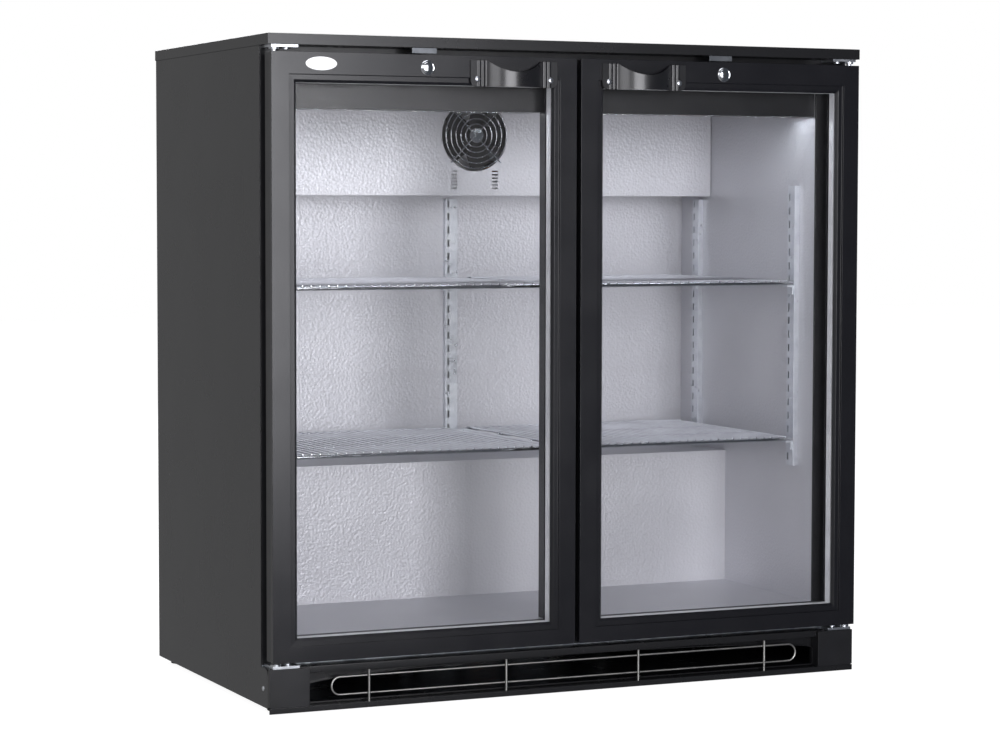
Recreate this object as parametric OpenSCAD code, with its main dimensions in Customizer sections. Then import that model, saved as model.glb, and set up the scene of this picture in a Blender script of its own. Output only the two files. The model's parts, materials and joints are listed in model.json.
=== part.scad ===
// Undercounter back-bar refrigerator with two hinged double-glazed doors.
// Millimetres, +Z up, doors face -Y. The origin is on the floor, at the centre of the whole footprint.

/* [Overall] */
// Width of the worktop
cabinet_w = 900; // [840:1:1100]
// Depth of the worktop, without handles
slab_d = 490; // [460:1:620]
// Height from the floor to the top of the worktop
overall_h = 900; // [780:1:1100]
// Thickness of the worktop
slab_t = 14.4; // [12:0.2:24]

/* [Cabinet] */
// How far the side panels stand in from the worktop's ends
side_inset = 1; // [1:0.5:4]
// Thickness of the outer steel sheets
sheet_t = 1.2; // [0.8:0.1:2]
// Thickness of an insulated side wall, worktop end to liner
wall_t = 50; // [40:1:60]
// Thickness of the insulated back wall
back_wall_t = 45; // [35:1:60]
// Thickness of the liner sheet
liner_t = 1.2; // [0.8:0.1:2]
// Height of the compartment floor
floor_z = 100; // [92:1:125]
// Gap between the compartment ceiling and the worktop
ceiling_gap = 25; // [18:1:40]
// Height of the step over the machine bay
step_z = 300; // [270:1:320]
// Depth of the machine bay behind the step wall
bay_d = 154; // [146:1:190]
// Thickness of the insulated wall round the machine bay
step_wall_t = 35; // [25:1:40]
// Width of the centre post
mullion_w = 62; // [40:1:80]
// Depth of the centre post
mullion_d = 22; // [18:1:26]

/* [Doors] */
// How far the doors stand in front of the worktop
door_proud = 4; // [0:0.5:8]
// Thickness of a door
door_t = 28; // [26:0.5:36]
// Thickness of the closed gasket
gasket_t = 13; // [9:0.5:16]
// Gap between the two doors
door_gap = 7; // [5:0.5:12]
// How far a door's outer edge stands in from the worktop's end
door_inset = 3.5; // [3:0.5:8]
// Height of the doors' lower edge
door_z = 69.5; // [68:0.5:76]
// Gap between the doors and the worktop
door_head_gap = 9.2; // [8:0.2:14]
// Flat width of the door stiles
stile_w = 24; // [22:1:40]
// Flat width of the door's top rail
top_rail_w = 28; // [28:1:44]
// Flat width of the door's bottom rail
bottom_rail_w = 20; // [18:1:40]
// Thickness of one glass pane
pane_t = 3; // [3:0.5:4]
// Width of the stepped inner bevel
bevel_w = 12; // [10:1:18]
// Width of the gasket
gasket_w = 14; // [10:1:14]

/* [Hinges and locks] */
// Hinge axis in from the door's edge
hinge_in = 8.5; // [8:0.5:9.5]
// Hinge axis behind the door's face
hinge_back = 14; // [13:0.5:16]
// Diameter of the hinge pins
pin_d = 8; // [6:0.5:8]
// Distance of the locks from the cabinet's centre
lock_x = 225.5; // [200:1:235]
// Lock axis below the door's top edge
lock_drop = 17.4; // [14:0.2:18]
// Diameter of the lock barrel
barrel_d = 15; // [13:0.5:16]
// Length of the lock cam from its axis
cam_l = 23.5; // [21:0.5:24]

/* [Handles] */
// Width of a handle over its flanges
handle_w = 129; // [110:1:150]
// Height of a handle
handle_h = 35; // [30:1:36]
// How far the handle stands in front of the door
handle_proud = 18; // [14:0.5:24]
// Thickness of the handle plate
handle_t = 2.6; // [2:0.1:3.5]
// Width of each flange
flange_w = 20; // [16:0.5:24]
// Distance of the handle's centre from the cabinet's centre
handle_x = 99; // [96:1:130]

/* [Shelves] */
// Lower shelves above the top of the machine-bay step
lower_shelf_rise = 35; // [25:1:70]
// Upper shelves below the evaporator housing
upper_shelf_drop = 127; // [60:1:170]
// Diameter of the shelf rim wire
rim_d = 6; // [5:0.5:7]
// Diameter of the shelf deck wires
deck_d = 3; // [2.5:0.5:4]
// Number of deck wires in a shelf
deck_n = 29; // [15:1:33]

/* [Cooling] */
// Diameter of the evaporator fan opening
evap_hole_d = 106; // [90:1:112]
// Evaporator fan's axis below the ceiling
evap_fan_drop = 81.6; // [74:0.2:86]
// Depth of the evaporator housing
evap_d = 95; // [85:1:110]
// Height of the evaporator housing
evap_h = 170.6; // [158:0.2:180]
// Diameter of the condenser fan
cond_fan_d = 112; // [90:1:118]
// Diameter of the compressor shell
comp_d = 124; // [100:1:126]
// Height of the compressor shell
comp_h = 150; // [120:1:160]
// Diameter of the mains cord hole in the gland
gland_d = 8; // [6:0.5:10]

/* [Base] */
// Height of the base pan over the floor
pan_z = 8; // [6:0.5:12]
// Top of the base rail
base_top = 61.5; // [58:0.5:62]
// Height of the base rail
rail_h = 9.5; // [8:0.5:12]
// Width of a corner block
block_w = 57; // [48:1:70]
// Diameter of a foot
foot_d = 30; // [24:1:40]
// Wire diameter of the kick guard loop
guard_d = 3; // [2:0.5:4]

/* [Fits] */
// Radial clearance of a running fit
run_fit = 0.05; // [0.02:0.01:0.1]
// Gap between the closed gasket and the cabinet
seal_gap = 0.4; // [0.3:0.1:1]
// Gap between parts that pass each other
gap = 0.5; // [0.3:0.1:1]

/* [Hidden] */
$fn = 48;

black_steel = "#3d3d40";
black_plastic = "#26262a";
bright_liner = "#b4b6bd";
zinc = "#c9ccd2";
copper = "#b87348";
far = 2000;
tiny = 0.01;

// Depth, from the front: handle, door, gasket, cabinet face, worktop's back edge
front_y = -(slab_d - door_proud - handle_proud) / 2;
back_y = front_y + slab_d;
door_y = front_y - door_proud;
face_y = door_y + door_t + gasket_t;
back_in_y = back_y - side_inset - sheet_t;
// Width
half_w = cabinet_w / 2;
side_x = half_w - side_inset;
shell_x = side_x - sheet_t;
liner_x = half_w - wall_t;
// Height
slab_z = overall_h - slab_t;
ceiling_z = slab_z - ceiling_gap;
door_top = slab_z - door_head_gap;
door_h = door_top - door_z;
door_w = half_w - door_inset - door_gap / 2;
// Compartment and machine bay
frame_t = 3;
liner_y = face_y + frame_t;
back_wall_y = back_y - back_wall_t;
bay_y = back_in_y - bay_d;
step_y = bay_y - step_wall_t;
bay_top = step_z - step_wall_t;
pan_top = pan_z + sheet_t;
// Doors
front_skin_t = 7;
spacer_t = door_t - front_skin_t - 2 * pane_t - frame_t;
glass_lap = bevel_w - 2;
hinge_x = half_w - door_inset - hinge_in;
hinge_y = door_y + hinge_back;
lock_z = door_top - lock_drop;
// Base
nose_y = front_y + 10;
rail_z = base_top - rail_h;
block_x = side_x - block_w;
kick_y = front_y + 24;
bracket_t = 3.5;
// Shelves
post_t = 8;
post_w = 20;
mid_post_t = 6;
side_post_y = face_y + 54;
rear_post_y = back_wall_y - 60;
shelf_front_y = face_y + mullion_d + mid_post_t + 7 + rim_d / 2;
shelf_back_y = back_wall_y - 20;
shelf_in_x = 10;
shelf_out_x = liner_x - post_t - rim_d / 2 - 1;
// Cooling
evap_y = back_wall_y - evap_d;
evap_z = ceiling_z - evap_h;
evap_fan_z = ceiling_z - evap_fan_drop;
lower_shelf_z = step_z + lower_shelf_rise;
upper_shelf_z = evap_z - upper_shelf_drop;
bay_mid_y = (bay_y + back_in_y) / 2;
comp_x = 230;
comp_z = pan_top + 17;
cond_x = -190;
cond_z = pan_top + 4 + cond_fan_d / 2 + 24;
cond_t = 66;

// ---- helpers ----

// A box given by its two corners
module slab_box(a, b) {
    translate(a) cube([b[0] - a[0], b[1] - a[1], b[2] - a[2]]);
}

// Extrudes a (y, z) outline along X
module along_x(x, length) {
    translate([x, 0, 0]) rotate([90, 0, 90]) linear_extrude(length) children();
}

// Extrudes an (x, z) outline along Y
module along_y(y, length) {
    translate([0, y + length, 0]) rotate([90, 0, 0]) linear_extrude(length) children();
}

// A cylinder along X, Y or Z that starts at a point
module rod_x(p, r, l) { translate(p) rotate([0, 90, 0]) cylinder(r = r, h = l); }
module rod_y(p, r, l) { translate(p) rotate([-90, 0, 0]) cylinder(r = r, h = l); }
module rod_z(p, r, l) { translate(p) cylinder(r = r, h = l); }

// An eight-sided welded wire along X or Y
module wire_x(p, d, l) { translate(p) rotate([0, 90, 0]) rotate(22.5) cylinder(d = d, h = l, $fn = 8); }
module wire_y(p, d, l) { translate(p) rotate([-90, 0, 0]) rotate(22.5) cylinder(d = d, h = l, $fn = 8); }
module wire_z(p, d, l) { translate(p) rotate(22.5) cylinder(d = d, h = l, $fn = 8); }

// A rectangle with round corners, as an outline with true arcs
module round_rect(w, h, r) {
    for (x = [-1, 1], z = [-1, 1]) translate([x * (w / 2 - r), z * (h / 2 - r)]) circle(r);
    square([w - 2 * r, h], center = true);
    square([w, h - 2 * r], center = true);
}

// A mitred picture frame in the XZ plane, w wide and h high, from z = 0 up.
// Each profile point is (distance in from the edge, y).
module mitred_ring(w, h, profile) {
    m = max([for (p = profile) p[0]]) + 1;
    y0 = min([for (p = profile) p[1]]) - 1;
    y1 = max([for (p = profile) p[1]]) + 1;
    for (s = [0, 1]) {
        translate([0, 0, s * h]) mirror([0, 0, s]) intersection() {
            along_x(-w / 2, w) polygon([for (p = profile) [p[1], p[0]]]);
            along_y(y0, y1 - y0) polygon([[-w / 2, 0], [w / 2, 0], [w / 2 - m, m], [-w / 2 + m, m]]);
        }
        mirror([s, 0, 0]) intersection() {
            linear_extrude(h) polygon([for (p = profile) [-w / 2 + p[0], p[1]]]);
            along_y(y0, y1 - y0) polygon([[-w / 2, 0], [-w / 2 + m, m], [-w / 2 + m, h - m], [-w / 2, h]]);
        }
    }
}

// A pipe through a list of points, with brazed ball joints a little larger than the pipe
module pipe(points, r) {
    for (i = [0 : len(points) - 2]) {
        d = points[i + 1] - points[i];
        l = norm(d);
        translate(points[i]) rotate([0, acos(d[2] / l), atan2(d[1], d[0])]) cylinder(r = r, h = l);
    }
    for (i = [1 : 1 : len(points) - 2]) translate(points[i]) sphere(r * 1.25, $fn = 24);
}

// ---- worktop and cabinet ----

// Folded sheet, open underneath over the cabinet so that the foam fills it
module worktop() {
    color(black_steel) difference() {
        slab_box([-half_w, front_y, slab_z], [half_w, back_y, overall_h]);
        worktop_core();
        slab_box([-shell_x, liner_y, slab_z - 1], [shell_x, back_in_y, slab_z + 2 * sheet_t]);
    }
}

module worktop_core() {
    slab_box([-half_w + sheet_t, front_y + sheet_t, slab_z + sheet_t],
             [half_w - sheet_t, back_y - sheet_t, overall_h - sheet_t]);
}

// Side panel in (y, z), with the low nose that carries the base rail
module side_outline() {
    nose_r = 12;
    translate([face_y, pan_z]) square([back_y - side_inset - face_y, slab_z - pan_z]);
    translate([nose_y, pan_z]) square([face_y - nose_y, base_top - nose_r - pan_z]);
    translate([nose_y + nose_r, pan_z]) square([face_y - nose_y - nose_r, base_top - pan_z]);
    translate([nose_y + nose_r, base_top - nose_r]) circle(nose_r);
}

module left_side_panel() {
    color(black_steel) along_x(-side_x, sheet_t) side_outline();
}

module right_side_panel() {
    color(black_steel) along_x(shell_x, sheet_t) side_outline();
}

module back_panel() {
    color(black_steel) slab_box([-shell_x, back_in_y, bay_top], [shell_x, back_in_y + sheet_t, slab_z]);
}

// One folded sheet: under the compartment floor, up the bay wall and over the bay
module machine_bay_lining() {
    color("#8d9096") difference() {
        along_x(-shell_x, 2 * shell_x) polygon([
            [face_y, base_top], [bay_y, base_top], [bay_y, bay_top - sheet_t], [back_in_y, bay_top - sheet_t],
            [back_in_y, bay_top], [bay_y - sheet_t, bay_top], [bay_y - sheet_t, base_top + sheet_t],
            [face_y, base_top + sheet_t]]);
        pipe_chase();
    }
}

// Compartment outline in (y, z), grown outwards by o
function liner_points(o, y0) = [
    [y0, floor_z - o], [step_y + o, floor_z - o], [step_y + o, step_z - o], [back_wall_y + o, step_z - o],
    [back_wall_y + o, ceiling_z + o], [y0, ceiling_z + o]];

// Upright channel in the back wall for the pipes to the evaporator
chase_x = 40;
chase_w = 60;
pipe_hole_z = evap_z + 40;
module pipe_chase() {
    slab_box([chase_x, back_wall_y + liner_t, bay_top - 2],
             [chase_x + chase_w, back_in_y + 1, pipe_hole_z + 30]);
}

module foam_insulation() {
    color("#d8cfa8") difference() {
        union() {
            along_x(-shell_x, 2 * shell_x) polygon([
                [liner_y, base_top + sheet_t], [bay_y - sheet_t, base_top + sheet_t],
                [bay_y - sheet_t, bay_top], [back_in_y, bay_top],
                [back_in_y, slab_z + 2 * sheet_t], [liner_y, slab_z + 2 * sheet_t]]);
            worktop_core();
        }
        along_x(-liner_x - liner_t, 2 * (liner_x + liner_t)) polygon(liner_points(liner_t, liner_y - 1));
        pipe_chase();
    }
}

module inner_liner() {
    color(bright_liner) difference() {
        along_x(-liner_x - liner_t, 2 * (liner_x + liner_t)) polygon(liner_points(liner_t, liner_y));
        along_x(-liner_x, 2 * liner_x) polygon(liner_points(0, liner_y - 1));
        rod_y([chase_x + chase_w / 2, back_wall_y - 1, pipe_hole_z], 14, 10);
    }
}

module face_frame() {
    color(black_plastic) difference() {
        slab_box([-shell_x, face_y, base_top + sheet_t], [shell_x, liner_y, slab_z]);
        slab_box([-liner_x, face_y - 1, floor_z], [liner_x, liner_y + 1, ceiling_z]);
    }
}

// Hollow post behind the meeting edge of the doors
module centre_mullion() {
    r = 2.5;
    color(black_plastic) translate([0, face_y + mullion_d / 2, floor_z]) linear_extrude(ceiling_z - floor_z)
        difference() {
            round_rect(mullion_w, mullion_d, r);
            square([mullion_w - 2 * r, mullion_d - 2 * r], center = true);
        }
}

// ---- base ----

module base_pan() {
    skirt_y = front_y + 3.8;
    upstand = 14;
    color(black_steel) {
        slab_box([-shell_x, skirt_y, pan_z], [shell_x, back_in_y, pan_top]);
        slab_box([-side_x, skirt_y, 1.5], [side_x, skirt_y + sheet_t, pan_top]);
        for (s = [0, 1]) mirror([s, 0, 0])
            slab_box([-shell_x, nose_y + 30, pan_z], [-shell_x + sheet_t, back_in_y, pan_top + upstand]);
    }
}

foot_in = 42;
module feet() {
    color("#1c1c1e") for (x = [-1, 1], y = [front_y + foot_in, back_in_y - foot_in + 18])
        translate([x * (side_x - foot_in + 16), y, 0]) {
            cylinder(d = foot_d, h = 5);
            cylinder(d = foot_d * 0.6, h = pan_z);
        }
}

module base_rail() {
    wall = 2;
    color(black_steel) difference() {
        slab_box([-shell_x, nose_y, rail_z], [shell_x, face_y - gap, base_top]);
        slab_box([-far, nose_y + wall, rail_z + wall], [far, face_y - gap - wall, base_top - wall]);
    }
}

// Front cover of each lower corner, with a return on its inner side
module corner_blocks() {
    y0 = front_y + 4;
    z1 = base_top - 1;
    color(black_plastic) for (s = [0, 1]) mirror([s, 0, 0]) {
        slab_box([-side_x, y0, pan_top + 1], [-block_x, nose_y - gap, z1]);
        slab_box([-block_x - 3, y0, pan_top + 1], [-block_x, kick_y - tiny, rail_z]);
        slab_box([-shell_x + gap, y0, pan_top], [-block_x, kick_y - tiny, pan_top + 4]);
    }
}

// The opening's outline in (x, z): a low half ellipse standing on straight sides, grown by o
module kick_opening(o) {
    half = block_x - 2 + o;
    low = pan_top + 3 - o;
    high = rail_z - 1.6 + o;
    spring = low + 0.58 * (high - low);
    steps = 60;
    polygon(concat([[half, low], [-half, low]], [for (i = [0 : steps]) let (a = 180 * i / steps)
        [-half * cos(a), spring + (high - spring) * sin(a)]]));
}

module kick_panel() {
    rim = 1.5;
    rim_deep = 6;
    color(black_steel) {
        along_y(kick_y, sheet_t) difference() {
            translate([-block_x, pan_top]) square([2 * block_x, rail_z - pan_top]);
            kick_opening(0);
        }
        along_y(kick_y - rim_deep, rim_deep) difference() {
            kick_opening(rim);
            kick_opening(0);
        }
    }
}

guard_half = 358;
guard_z = 32;
guard_r = 12;
bar_x = [-305, -102, 102, 305];
module kick_wire_guard() {
    y = front_y + 12;
    bar_d = guard_d + 0.5;
    color(zinc) {
        for (s = [-1, 1]) {
            rod_x([-guard_half + guard_r, y, guard_z + s * guard_r], guard_d / 2, 2 * (guard_half - guard_r));
            translate([s * (guard_half - guard_r), y, guard_z]) rotate([90, s * 90, 0])
                rotate_extrude(angle = 180) translate([guard_r, 0]) circle(d = guard_d);
        }
        for (x = bar_x) rod_z([x, y - guard_d / 2 - bar_d / 2 + 0.6, pan_top], bar_d / 2, rail_z - pan_top);
    }
}

// ---- rear ----

gland_x = 372;
gland_z = 60;
module rear_grille() {
    slot_w = 60;
    pitch = 78;
    color(black_steel) difference() {
        slab_box([-shell_x, back_in_y, pan_z], [shell_x, back_in_y + sheet_t, bay_top]);
        for (i = [-5 : 5], z = [pan_top + 40 : 16 : bay_top - 30])
            if (abs(i * pitch - gland_x) > 60 || z > gland_z + 40)
                slab_box([i * pitch - slot_w / 2, back_in_y - 1, z],
                         [i * pitch + slot_w / 2, back_in_y + sheet_t + 1, z + 6]);
        rod_y([gland_x, back_in_y - 1, gland_z], gland_d / 2 + 4 + gap / 2, sheet_t + 2);
    }
}

// Strain-relief gland in the rear panel, bored for the mains cord
module cable_gland() {
    neck = gland_d / 2 + 4;
    color(black_plastic) difference() {
        union() {
            rod_y([gland_x, back_in_y - 14, gland_z], neck, 15 + sheet_t);
            translate([gland_x, back_in_y, gland_z]) rotate([90, 0, 0])
                cylinder(r = neck + 4, h = 5, $fn = 6);
        }
        rod_y([gland_x, back_in_y - 20, gland_z], gland_d / 2, 40);
    }
}

// ---- light, thermostat and switch ----

head_d = 52;
head_low = ceiling_z - 57;
head_gap = 1;
strip_y = liner_y + 36;
module light_housings() {
    wall = 2;
    x0 = mullion_w / 2 + head_gap;
    x1 = liner_x - head_gap;
    color(black_plastic) for (s = [0, 1]) mirror([s, 0, 0]) difference() {
        slab_box([x0, liner_y, head_low], [x1, liner_y + head_d, ceiling_z]);
        slab_box([x0 + wall, liner_y + wall, head_low + wall + 4],
                 [x1 - wall, liner_y + head_d - wall, ceiling_z + 1]);
        slab_box([x0 + 12, strip_y - 7, head_low - 1], [x1 - 12, strip_y + 7, head_low + 10]);
    }
}

module light_strips() {
    x0 = mullion_w / 2 + head_gap + 12 + gap;
    x1 = liner_x - head_gap - 12 - gap;
    color("#f4f8ff") for (s = [0, 1]) mirror([s, 0, 0])
        slab_box([x0, strip_y - 7 + gap, head_low + 0.5], [x1, strip_y + 7 - gap, head_low + 5.5]);
}

stat_y = face_y + 110;
stat_z = head_low - 45;
stat_d = 24;
knob_y = stat_y + 58;
knob_face = -liner_x + stat_d;
module thermostat_box() {
    color("#e4e4e2") difference() {
        slab_box([-liner_x, stat_y, stat_z - 25], [knob_face, stat_y + 84, stat_z + 25]);
        rod_x([knob_face - 12, knob_y, stat_z], 4 + run_fit, 13);
        slab_box([knob_face - 14, stat_y + 10, stat_z - 12], [knob_face + 1, stat_y + 24, stat_z + 12]);
        rod_y([knob_face - 4, stat_y + 6, stat_z], 1.6, 22);
    }
}

module thermostat_knob() {
    color(black_plastic) difference() {
        union() {
            rod_x([knob_face + gap, knob_y, stat_z], 16, 12);
            rod_x([knob_face - 10, knob_y, stat_z], 4, 14);
        }
        slab_box([knob_face + 11.5, knob_y - 0.8, stat_z + 4], [knob_face + 13, knob_y + 0.8, stat_z + 16]);
    }
}

// Rocker on a short cross pin in the thermostat box
rocker_tilt = 12;
module light_switch() {
    color("#c8ccd0") {
        intersection() {
            rod_y([knob_face - 4, stat_y + 10.6, stat_z], 10.6, 12.8);
            translate([knob_face - 4, stat_y + 10.6, stat_z]) rotate([0, rocker_tilt / 2, 0])
                slab_box([-3, 0, -10.2], [6.5, 12.8, 10.2]);
        }
        rod_y([knob_face - 4, stat_y + 6.5, stat_z], 1.55, 21);
    }
}

// ---- evaporator ----

// Folded housing at the top of the back wall: front plate, underside and ends
module evaporator_cover() {
    w = liner_x - 1;
    t = liner_t;
    intake_n = 20;
    color(bright_liner) difference() {
        slab_box([-w, evap_y, evap_z], [w, back_wall_y - tiny, ceiling_z - 0.5]);
        slab_box([-w + t, evap_y + t, evap_z + t], [w - t, back_wall_y + 1, ceiling_z]);
        rod_y([0, evap_y - 1, evap_fan_z], evap_hole_d / 2, t + 2);
        for (i = [-intake_n : intake_n]) if (abs(i) > 2)
            slab_box([i * 18 - 3, evap_y + 12, evap_z - 1], [i * 18 + 3, evap_y + 46, evap_z + t + 1]);
        for (s = [-1, 1], i = [0 : 5]) translate([s * 33, evap_y - 1, evap_z + 10 + i * 5])
            slab_box([-5, 0, 0], [5, t + 2, 2]);
    }
}

module evaporator_coil() {
    x0 = 85;
    x1 = liner_x - 30;
    y0 = evap_y + 14;
    y1 = back_wall_y - 8;
    z0 = evap_z + 16;
    z1 = evap_z + 130;
    pitch = 12;
    color("#a8acb2") for (s = [0, 1]) mirror([s, 0, 0]) {
        for (x = [x0 : pitch : x1 - 1])
            along_x(x, 0.8) difference() {
                translate([y0, z0]) square([y1 - y0, z1 - z0]);
                for (j = [0 : 1], k = [0 : 2])
                    translate([y0 + 20 + j * 36, z0 + 20 + k * 36]) circle(4.5 + gap);
            }
        for (j = [0 : 1], k = [0 : 2])
            rod_x([x0 - 8, y0 + 20 + j * 36, z0 + 20 + k * 36], 4.5, x1 - x0 + 10);
    }
}

module evaporator_fan_guard() {
    wire = 1.6;
    y = evap_y - 6;
    outer = evap_hole_d / 2 - 4;
    color(zinc) {
        for (r = [outer : -8 : 14]) translate([0, y, evap_fan_z]) rotate([90, 0, 0])
            rotate_extrude() translate([r, 0]) circle(d = wire, $fn = 16);
        for (a = [45 : 90 : 315]) translate([0, y + wire - 0.3, evap_fan_z]) rotate([0, a, 0]) {
            wire_x([9, 0, 0], wire + 0.4, outer + 8 - 9);
            wire_y([outer + 7, 0, 0], wire + 0.4, 6 - wire + 0.3);
        }
        rod_y([0, y - 0.8, evap_fan_z], 11, 1.6 + wire);
    }
}

evap_hub_y = evap_y + 22;
module evaporator_fan_motor() {
    arm = evap_hole_d / 2 + 8;
    color("#55585c") {
        difference() {
            rod_y([0, evap_hub_y, evap_fan_z], 21, 34);
            rod_y([0, evap_hub_y - 1, evap_fan_z], 3 + run_fit, 20);
        }
        for (a = [0 : 90 : 270]) translate([0, evap_hub_y + 20, evap_fan_z]) rotate([0, a + 45, 0]) {
            slab_box([20, 0, -4], [arm, 2, 4]);
            slab_box([arm - 2, evap_y + liner_t - evap_hub_y - 20, -4], [arm, 2, 4]);
        }
    }
}

// Hub, shaft and tilted blades of an axial fan that faces along -Y
module fan_rotor(d, hub_r, hub_l, blades, shaft_l) {
    rod_y([0, 0, 0], hub_r, hub_l);
    rod_y([0, 0, 0], 3, hub_l + shaft_l);
    for (i = [0 : blades - 1]) rotate([0, i * 360 / blades, 0]) intersection() {
        translate([0, hub_l / 2, 0]) rotate([28, 0, 0])
            slab_box([hub_r - 2, -0.8, -d / 6], [d / 2 + 5, 0.8, d / 6]);
        rod_y([0, -far / 4, 0], d / 2, far / 2);
    }
}

module evaporator_fan_blade() {
    shaft_l = 17;
    color(black_plastic) translate([0, evap_hub_y - shaft_l, evap_fan_z])
        fan_rotor(evap_hole_d - 10, 16, shaft_l - 4, 5, shaft_l);
}

// ---- shelves ----

// Slotted U channel, w wide and t deep, from z0 to z1, its back at the origin plane and its face at -Y
module standard(w, t, z0, z1) {
    wall = 1.2;
    difference() {
        slab_box([-w / 2, -t, z0], [w / 2, 0, z1]);
        slab_box([-w / 2 + wall, -t + wall, z0 - 1], [w / 2 - wall, 1, z1 + 1]);
        for (z = [z0 + 8 : 20 : z1 - 12])
            slab_box([-w / 4 - 1.5, -t - 1, z], [-w / 4 + 1.5, 1 - t + wall, z + 10]);
    }
}

module shelf_standards() {
    z0 = step_z + 5;
    z1 = evap_z - 5;
    color("#d4d6da") {
        for (s = [-1, 1]) translate([s * liner_x, 0, 0]) {
            translate([0, side_post_y, 0]) rotate([0, 0, -s * 90]) standard(post_w, post_t, z0 - 10, z1 + 20);
            translate([0, rear_post_y, 0]) rotate([0, 0, -s * 90]) standard(post_w, post_t, z0, z1);
        }
        translate([0, back_wall_y, 0]) standard(post_w, post_t, z0, z1);
        translate([0, face_y + mullion_d, 0]) rotate([0, 0, 180])
            standard(post_w, mid_post_t, z0 - 10, z1 + 20);
    }
}

// One clip: a ledge under the rim wire and a back plate against the standard, which is at y = 0
module clip(w, reach) {
    slab_box([-w / 2, -reach, -3], [w / 2, 0, 0]);
    slab_box([-w / 2, -2, -14], [w / 2, 0, 0]);
}

module shelf_clips() {
    mid_front = face_y + mullion_d + mid_post_t;
    color(zinc) for (z = [lower_shelf_z, upper_shelf_z]) translate([0, 0, z - rim_d / 2]) {
        for (s = [-1, 1], y = [side_post_y, rear_post_y])
            translate([s * (liner_x - post_t), y, 0]) rotate([0, 0, -s * 90]) clip(14, 10);
        translate([0, mid_front, 0]) rotate([0, 0, 180])
            clip(2 * shelf_in_x + 8, shelf_front_y - mid_front + 2);
        translate([0, back_wall_y - post_t, 0])
            clip(2 * shelf_in_x + 8, back_wall_y - post_t - shelf_back_y + 2);
    }
}

// Wire shelf for the right-hand bay: a bent rim, two cross bars and deck wires welded on top
module shelf(z) {
    w = shelf_out_x - shelf_in_x;
    d = shelf_back_y - shelf_front_y;
    rim = rim_d - 0.6;
    weld = 0.7;
    deck_z = z + rim / 2 + deck_d / 2 - weld;
    color("#d0d3d8") {
        translate([(shelf_in_x + shelf_out_x) / 2, (shelf_front_y + shelf_back_y) / 2, z - rim / 2])
            linear_extrude(rim) difference() {
                round_rect(w + rim, d + rim, rim + 4);
                round_rect(w - rim, d - rim, 4);
            }
        for (k = [1, 2]) wire_x([shelf_in_x, shelf_front_y + k * d / 3, z], rim_d - 1, w);
        for (i = [1 : deck_n])
            wire_y([shelf_in_x + i * w / (deck_n + 1), shelf_front_y - rim / 2 - 1, deck_z],
                   deck_d, d + rim + 2);
    }
}

module upper_left_shelf() { mirror([1, 0, 0]) shelf(upper_shelf_z); }
module upper_right_shelf() { shelf(upper_shelf_z); }
module lower_left_shelf() { mirror([1, 0, 0]) shelf(lower_shelf_z); }
module lower_right_shelf() { shelf(lower_shelf_z); }

// ---- machine bay ----

foot_x = 78;
foot_y = 52;
module compressor() {
    r = comp_d / 2;
    dome = 34;
    color("#202124") {
        translate([comp_x, bay_mid_y, comp_z]) rotate_extrude() {
            square([r, comp_h - dome]);
            translate([0, comp_h - dome]) square([r - dome, dome]);
            intersection() {
                translate([r - dome, comp_h - dome]) circle(dome);
                translate([r - dome, comp_h - dome]) square(dome);
            }
        }
        difference() {
            slab_box([comp_x - foot_x - 12, bay_mid_y - foot_y - 12, comp_z - 3],
                     [comp_x + foot_x + 12, bay_mid_y + foot_y + 12, comp_z]);
            for (x = [-1, 1], y = [-1, 1])
                rod_z([comp_x + x * foot_x, bay_mid_y + y * foot_y, comp_z - 4], 7, 5);
        }
        slab_box([comp_x + r - 6, bay_mid_y - 24, comp_z + 30],
                 [comp_x + r + 34, bay_mid_y + 24, comp_z + 92]);
    }
}

module compressor_grommets() {
    color("#18181a") for (x = [-1, 1], y = [-1, 1])
        translate([comp_x + x * foot_x, bay_mid_y + y * foot_y, pan_top]) {
            cylinder(r = 10.5, h = comp_z - 3 - pan_top);
            cylinder(r = 6.8, h = comp_z - pan_top + 3);
        }
}

// Condensate dries off in this tray, warmed by the compressor beneath
module evaporation_tray() {
    z = comp_z + comp_h;
    color(black_plastic) difference() {
        slab_box([comp_x - 70, bay_mid_y - 58, z], [comp_x + 70, bay_mid_y + 58, z + 34]);
        slab_box([comp_x - 68, bay_mid_y - 56, z + 2], [comp_x + 68, bay_mid_y + 56, z + 40]);
    }
}

// A fin-and-tube block across the bay: the air goes through it along X
module condenser_coil() {
    x0 = cond_x;
    y0 = bay_y + 10;
    y1 = back_in_y - 10;
    z0 = pan_top + 6;
    z1 = z0 + 180;
    color("#2b2c2f") {
        for (y = [y0 + 4 : 8 : y1 - 4]) translate([0, y, 0]) difference() {
            slab_box([x0, 0, z0 + 1], [x0 + cond_t, 0.8, z1 - 1]);
            for (j = [0 : 1], k = [0 : 4]) rod_y([x0 + 17 + j * 32, -1, z0 + 18 + k * 36], 4 + gap, 3);
        }
        for (j = [0 : 1], k = [0 : 4]) rod_y([x0 + 17 + j * 32, y0 - 4, z0 + 18 + k * 36], 4, y1 - y0 + 8);
        for (z = [z0 - 6, z1]) slab_box([x0, y0, z], [x0 + cond_t, y1, z + (z < z1 ? 6 : 2)]);
    }
}

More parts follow.
